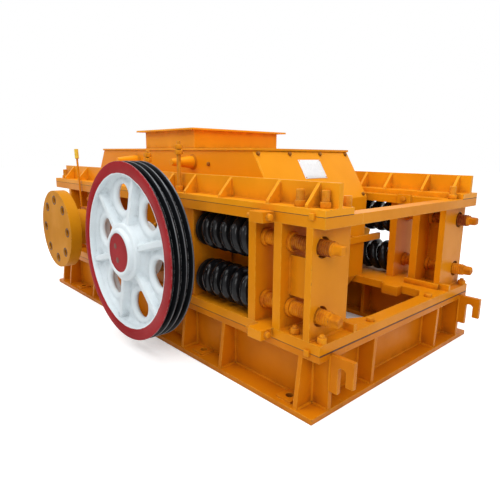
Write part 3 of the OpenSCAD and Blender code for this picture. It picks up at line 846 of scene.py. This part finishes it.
def wheel_paint(name, centre_x, sign):
    """Paint zones by radius and by depth behind the outer face, turning with the wheel."""
    material, tree, shader = bare_material(name)
    x, y, z = own_place(tree)
    x2 = calculated("POWER", calculated("SUBTRACT", x, centre_x), 2.0)
    z2 = calculated("POWER", calculated("SUBTRACT", z, axle_z), 2.0)
    reach = calculated("SQRT", calculated("ADD", x2, z2))
    depth = calculated("SUBTRACT", outer_face, times(y, float(sign)))
    wobble = times(calculated("SUBTRACT", speckle(tree, 26.0, 2.0), 0.5), 0.004)
    edge = calculated("ADD", reach, wobble)
    film = placed_group(tree, sprayed_coat, Cloud_Scale=9.0)
    edges = placed_group(tree, edge_wear_and_highlight, Radius=0.003, Scale=90.0)
    nooks = placed_group(tree, corner_dirt_and_shade, Reach=0.055)
    cloud = between(film["Cloud"], 0.35, 0.68)
    pale = blended(cloud, (0.81, 0.88, 0.91), (0.73, 0.80, 0.83))
    # Dirt and painted shade turn the pale web grey-blue in its hollows and beside the ribs.
    pale = blended(nooks["Dirt_And_Shade"], pale, (0.16, 0.18, 0.20), 0.9)
    red = blended(cloud, (0.35, 0.0020, 0.0060), (0.26, 0.0015, 0.0045))
    at_face = calculated("LESS_THAN", depth, paint_depth)
    on_rim = times(at_face, calculated("GREATER_THAN", edge, 0.2665))
    on_hub = times(at_face, calculated("LESS_THAN", edge, 0.067))
    colour = blended(calculated("MAXIMUM", on_rim, on_hub), pale, red)
    groove = between(reach, 0.3046, 0.3036)
    behind = calculated("GREATER_THAN", depth, paint_depth)
    belt_side = times(calculated("GREATER_THAN", reach, 0.2845), behind)
    black = blended(cloud, (0.004, 0.0045, 0.0055), (0.008, 0.0085, 0.010))
    land = blended(cloud, (0.15, 0.16, 0.17), (0.04, 0.04, 0.045))
    colour = blended(belt_side, colour, blended(groove, land, black))
    # Worn paint and a painted highlight lighten the edges.
    colour = blended(edges["Rubbed_And_Highlit"], colour, (0.62, 0.64, 0.66), 0.45)
    colour = blended(edges["Chipped"], colour, (0.10, 0.06, 0.045), 0.5)
    polished = times(belt_side, calculated("SUBTRACT", 1.0, groove))
    polished = times(polished, 0.4)
    dull = between(film["Cloud"], 0.3, 0.7, 0.28, 0.42)
    coated(shader, colour, dull, Metallic=polished, Specular_IOR_Level=0.05)
    embossed(shader, film["Peel"], 0.0004, 0.5, 0.003)
    return material


dark_hole, tree, shader = bare_material("tapped_hole_shadow")
grit = speckle(tree, 400.0, 3.0)
shadow = blended(grit, (0.12, 0.022, 0.014), (0.20, 0.050, 0.032))
coated(shader, shadow, between(grit, 0.3, 0.7, 0.5, 0.8))


def revolved(metal, centre, outward, profile, around=96):
    """A ring turned about an axis: a closed outline of (distance along, radius) pairs."""
    along, spoke = axis_of(outward)
    centre = Vector(centre)
    rows = []
    for a in full_turn(around):
        way = spoke(a)
        rows.append([metal.verts.new(centre + along * far + way * radius) for far, radius in profile])
    count = len(profile)
    for k in range(around):
        here, there = rows[k], rows[(k + 1) % around]
        for i in range(count):
            after = (i + 1) % count
            metal.faces.new((here[i], here[after], there[after], there[i]))


hole_circle = 0.1880
web_outer = 0.2670
web_inner = 0.0940
flare = 0.060
throat_cut = 0.014
half_sector = math.pi / 6


def sector_reach(a):
    """How far a ray from a hole's middle runs before it meets a rib's middle, the hub or the rim."""
    u, t = math.cos(a), math.sin(a)
    limits = []
    for slant in (math.tan(half_sector), -math.tan(half_sector)):
        crossing = t - slant * u
        if slant * crossing > 1e-9:
            limits.append((slant * hole_circle / crossing, "rib"))
    along_hole = hole_circle * u
    outer = along_hole ** 2 + web_outer ** 2 - hole_circle ** 2
    limits.append((-along_hole + math.sqrt(outer), "round"))
    inner = along_hole ** 2 + web_inner ** 2 - hole_circle ** 2
    if inner > 0 and u < 0:
        limits.append((-along_hole - math.sqrt(inner), "round"))
    return min(limits)


def eased(share):
    """A soft step from 0 to 1, held at both ends."""
    share = min(1.0, max(0.0, share))
    return share * share * (3 - 2 * share)


def fillet(run, radius):
    """How high a hollow fillet stands, at a distance in from its toe."""
    run = min(radius - 0.0001, max(0.0, run))
    return radius - math.sqrt(radius ** 2 - run ** 2)


def cast_lift(u, t, far):
    """How far the cast skin stands up from the flat web: rib, hub and rim fillets, hole lip."""
    radius = math.hypot(u, t)
    off_rib = radius * math.sin(max(0.0, half_sector - abs(math.atan2(t, u))))
    rib = (0.027 - 0.003 * (radius - 0.095) / 0.167) * eased((0.0155 - off_rib) / 0.0060)
    hub = fillet(0.124 - radius, 0.024)
    rim = fillet(radius - 0.2445, 0.018)
    lip = 0.0045 * eased((0.079 - far) / 0.018)
    return (rib ** 3 + hub ** 3 + rim ** 3 + lip ** 3) ** (1 / 3)


def cast_web(metal, centre, outward, phase, rays=84):
    """The web with its ribs, one sector round each hole, front skin, hole wall and back skin."""
    steps = [i / 16 - 0.10 * math.sin(math.tau * i / 16) for i in range(17)]
    for middle in full_turn(6, 0.5):
        middle += phase
        rows = []
        kinds = []
        for a in full_turn(rays, 0.5):
            across, up = math.cos(a), math.sin(a)
            reach, kind = sector_reach(a)
            skins = []
            for skin_depth, way in ((0.035, -1), (0.049, 1)):
                spots = []
                for step in steps:
                    far = flare + (reach - flare) * step
                    u, t = hole_circle + far * across, far * up
                    spots.append((u, t, skin_depth + way * cast_lift(u, t, far)))
                skins.append(spots)
            wall = []
            front, back = skins[0][0][2], skins[1][0][2]
            for b in (math.pi * step / 10 for step in range(1, 10)):
                far = flare - throat_cut * math.sin(b)
                depth = (front + back) / 2 - (back - front) / 2 * math.cos(b)
                wall.append((hole_circle + far * across, far * up, depth))
            points = []
            for u, t, depth in skins[0][::-1] + wall + skins[1]:
                p = u * math.cos(middle) - t * math.sin(middle)
                q = u * math.sin(middle) + t * math.cos(middle)
                points.append(metal.verts.new(centre + Vector((p, 0, q)) - outward * depth))
            rows.append(points)
            kinds.append(kind)
        for i in range(rays):
            here, there = rows[i], rows[(i + 1) % rays]
            for j in range(len(here) - 1):
                metal.faces.new((here[j], here[j + 1], there[j + 1], there[j]))
            if kinds[i] == kinds[(i + 1) % rays] == "round":
                metal.faces.new((here[-1], here[0], there[0], there[-1]))
    bmesh.ops.remove_doubles(metal, verts=metal.verts, dist=0.00002)


rim = [
    (0.0, 0.2640), (-0.0012, 0.2622), (-0.0030, 0.2618), (-0.0790, 0.2618), (-0.0808, 0.2622),
    (-0.0820, 0.2640), (-0.0820, 0.3042), (-0.0812, 0.3050),
]
half_groove = [(0.0114, 0.3050), (0.0107, 0.3044), (0.0060, 0.2862)]
for middle in (0.0665, 0.0410, 0.0155):
    rim += [(-middle - off, radius) for off, radius in half_groove]
    rim += [(-middle + off, radius) for off, radius in reversed(half_groove)]
rim += [(-0.0008, 0.3050), (0.0, 0.3042)]
hub = [
    (-0.0150, 0.0010), (-0.0150, 0.0672), (-0.0174, 0.0682), (-0.0180, 0.0696), (-0.0180, 0.0770),
    (-0.0172, 0.0792), (-0.0150, 0.0806), (-0.0062, 0.0822), (-0.0044, 0.0840), (-0.0040, 0.0870),
    (-0.0040, 0.0955), (-0.0028, 0.0984), (0.0, 0.0998), (0.0960, 0.1000), (0.0980, 0.0980),
    (0.0980, 0.0503), (0.0064, 0.0503), (0.0064, 0.0010),
]
wheels = {"front": ("moving_roller", moving_x, -1), "back": ("fixed_roller", fixed_x, 1)}
for side, (body, wheel_x, sign) in wheels.items():
    paint = wheel_paint(f"wheel_paint_{side}", wheel_x, sign)
    face = Vector((wheel_x, outer_face * sign, axle_z))
    outward = Vector((0, sign, 0))
    metal = bmesh.new()
    cast_web(metal, face, outward, math.radians(15.5))
    revolved(metal, face, outward, rim, 160)
    turned(metal, face, -outward, hub, 96)
    wheel = finished(f"cast_belt_wheel_{side}", metal, paint, body, 42.0)
    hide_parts(f"drive_pulley_{side}")
    # Painted shade: two thin dark discs on the hub's face stand for the shadowed holes in it.
    metal = bmesh.new()
    for dx, dz in ((-0.021, 0.020), (-0.009, -0.027)):
        spot = face + Vector((dx, 0.0148 * sign, dz))
        turned(metal, spot, outward, [(0, 0.0100), (0.0006, 0.0100), (0.0010, 0.0088)])
    finished(f"wheel_hub_hole_shades_{side}", metal, dark_hole, body)


# ------------ shaft flanges
# Turned steel flanges with eight bolt holes, shrunk on the shafts' other ends and sprayed with
# the frame. A dark brown ring round each hole is painted shade that widens the hole's dark.
# Painted shade: a dark brown ring round each bolt hole.
hole_shade_brown = enamel(
    "hole_rim_shade", (0.12, 0.038, 0.008), (0.06, 0.020, 0.006), (0.40, 0.18, 0.04),
    reach=0.010, wear=0.0010, cloud=50.0,
)
flange_orange = enamel(
    "flange_orange_enamel", (0.62, 0.245, 0.007), (0.52, 0.195, 0.005), (0.92, 0.52, 0.09),
    cloud=7.0, rough=(0.46, 0.62), gloss=0.09,
)
painted(flange_orange, "shaft_flange")
bolt_circle = 0.12684
hole_rim = [(-0.0010, 0.0142), (0.0004, 0.0146), (0.0007, 0.0196), (-0.0010, 0.0206)]
flanges = {"front": ("fixed_roller", fixed_x, -1), "back": ("moving_roller", moving_x, 1)}
for side, (body, flange_x, sign) in flanges.items():
    metal = bmesh.new()
    for a in full_turn(8):
        x = flange_x + bolt_circle * math.cos(a)
        z = axle_z + bolt_circle * math.sin(a)
        revolved(metal, (x, outer_face * sign, z), (0, sign, 0), hole_rim, 28)
    finished(f"flange_hole_rims_{side}", metal, hole_shade_brown, body)


# ------------ hood
# Bent sheet panels close the rolls in from above. The sloping end panels are bolted on, a bare
# white-enamelled plate is riveted to the one at the screw end, and round lugs stand on the sides.
# Painted light: the hood's copy of the orange enamel is lighter than the frame's, for the light up high.
lit_hood_orange = enamel(
    "hood_orange_enamel", (0.89, 0.330, 0.0050), (0.81, 0.285, 0.0035), (0.98, 0.60, 0.08),
    cloud=3.2,
)
painted(lit_hood_orange, "hood_side", "hood_roof", "hood_end")

hood_middle = middle_of("hood_roof", 0)
slope_top = Vector((0.396, 0.0, face_of("hood_end_right", 1, 2)))
slope_down = Vector((0.112, 0.0, -0.175)).normalized()
slope_out = Vector((0.175, 0.0, 0.112)).normalized()


def on_slope(y, down, proud=0.0, mirror=False):
    """A point on the sloping end panel, so far below its top edge."""
    at = slope_top + slope_down * down + slope_out * proud
    return Vector((2 * hood_middle - at.x if mirror else at.x, y, at.z))


dark_bolt = enamel(
    "dark_hood_bolt", (0.36, 0.140, 0.018), (0.20, 0.075, 0.014), (0.60, 0.30, 0.07),
    reach=0.008, wear=0.0012, cloud=60.0,
)
metal = bmesh.new()
slope_washer = [(0, 0.0078), (0.0014, 0.0078), (0.0016, 0.0072)]
slope_bolts = [(y, 0.013) for y in (-0.245, -0.088, 0.083, 0.245)] + [(-0.245, 0.195), (0.245, 0.195)]
for mirror in (False, True):
    out = Vector((-slope_out.x if mirror else slope_out.x, 0, slope_out.z))
    for y, down in slope_bolts:
        turned(metal, on_slope(y, down, 0.0, mirror), out, slope_washer, 20)
        hexagon(metal, on_slope(y, down, 0.0014, mirror), out, 0.0115, 0.0055, y * 11)
finished("hood_slope_bolts", metal, dark_bolt)
lug_face = face_of("feed_hopper", 1, 1)
metal = bmesh.new()
for sign in (-1, 1):
    for x in (0.156, -0.494):
        hexagon(metal, (x, lug_face * sign, 0.660), (0, sign, 0), 0.013, 0.007, x)
finished("hood_side_bolts", metal, dark_bolt)

lug_weld = [(-0.001, 0.024)]
for step in range(7):
    b = math.pi / 2 * step / 6
    lug_weld.append((0.0005 + 0.006 * (1 - math.sin(b)), 0.0248 + 0.006 * (1 - math.cos(b))))
lug_weld.append((-0.001, 0.031))
metal = bmesh.new()
for sign in (-1, 1):
    for x in (0.051, -0.389):
        revolved(metal, (x, lug_face * sign, 0.665), (0, sign, 0), lug_weld, 40)
finished("hood_lug_welds", metal, weld_orange)

plate_white, tree, shader = bare_material("bare_plate_enamel")
mottle = speckle(tree, 34.0, 5.0)
nooks = placed_group(tree, corner_dirt_and_shade, Reach=0.006)
white = blended(between(mottle, 0.35, 0.7), (0.86, 0.87, 0.88), (0.76, 0.78, 0.80))
# Dirt and painted shade darken the plate at its rim and round the rivets.
soiled_and_shaded = blended(nooks["Dirt_And_Shade"], white, (0.45, 0.40, 0.34))
coated(shader, soiled_and_shaded, between(mottle, 0.3, 0.7, 0.22, 0.36))
embossed(shader, mottle, 0.0003)

# The plate bows up a little in the middle, and its rim lies close to the panel.
plate_down = (0.0365, 0.0385, 0.058, 0.077, 0.096, 0.1140, 0.1160)
plate_across = (-0.0570, -0.0550, -0.026, 0.005, 0.036, 0.0650, 0.0670)
metal = bmesh.new()
rows = []
for down in plate_down:
    row = []
    for y in plate_across:
        on_rim = down in (plate_down[0], plate_down[-1]) or y in (plate_across[0], plate_across[-1])
        bow = 0.0006 * math.cos((y - 0.005) * 24)
        row.append(metal.verts.new(on_slope(y, down, 0.0004 if on_rim else 0.0014 + bow)))
    rows.append(row)
for upper, lower in zip(rows, rows[1:]):
    for i in range(len(upper) - 1):
        metal.faces.new((upper[i], upper[i + 1], lower[i + 1], lower[i]))
name_plate = finished("bare_name_plate", metal, plate_white, smooth=60.0)
name_plate.modifiers.new("sheet", "SOLIDIFY").thickness = 0.0006
rivet = [(0, 0.0028), (0.0008, 0.0026), (0.0014, 0.0016), (0.0016, 0.0006)]
metal = bmesh.new()
for y in (-0.0515, 0.0615):
    for down in (0.0415, 0.111):
        turned(metal, on_slope(y, down, 0.0012), slope_out, rivet, 14)
finished("name_plate_rivets", metal, screw_steel)


# ------------ feed hopper and chute
# An upright box of thin plate with a flat rim stands on the hood, and two sloping plates inside
# the base turn the crushed rock to the middle.
# Painted light: the hopper's copy of the orange enamel is the lightest, for the light on the top of the
# machine.
lit_hopper_orange = enamel(
    "hopper_orange_enamel", (0.95, 0.385, 0.010), (0.86, 0.325, 0.007), (0.98, 0.60, 0.10),
    cloud=4.0, reach=0.04,
)
painted(lit_hopper_orange, "feed_hopper", "discharge_chute")
hopper_foot = face_of("feed_hopper", 0, 2)
half_long = 0.190
half_wide = 0.234
left, right = hood_middle - half_long, hood_middle + half_long
metal = bmesh.new()
for sign, x in ((-1, left), (1, right)):
    y = half_wide * sign
    weld_bead(metal, (left, y, hopper_foot), (right, y, hopper_foot), 0.004)
    weld_bead(metal, (x, -half_wide, hopper_foot), (x, half_wide, hopper_foot), 0.004)
finished("hopper_foot_welds", metal, weld_orange)


# ------------ hand lever
# A thin rod with a moulded yellow grip, standing on a bracket beside the fixed bearing.
painted(bearing_orange, "lever")
grip_yellow, tree, shader = bare_material("moulded_grip")
mottle = speckle(tree, 220.0, 4.0)
yellow = blended(mottle, (0.86, 0.58, 0.03), (0.72, 0.43, 0.018))
coated(shader, yellow, between(mottle, 0.3, 0.7, 0.42, 0.6))
embossed(shader, mottle, 0.0003)
rod_foot = Vector((-0.588, -0.458, 0.386))
grip_start = 0.284
lean = math.radians(5)
rod_way = Vector((-math.sin(lean), 0, math.cos(lean)))
metal = bmesh.new()
grip = [(0.0, 0.0065), (0.001, 0.0092)]
for ring in range(7):
    at = 0.004 + ring * 0.0056
    grip += [(at, 0.0096), (at + 0.0012, 0.0088), (at + 0.0034, 0.0088), (at + 0.0046, 0.0096)]
grip += [(0.0438, 0.0094), (0.0446, 0.0070)]
turned(metal, rod_foot + rod_way * grip_start, rod_way, grip)
finished("lever_grip", metal, grip_yellow)
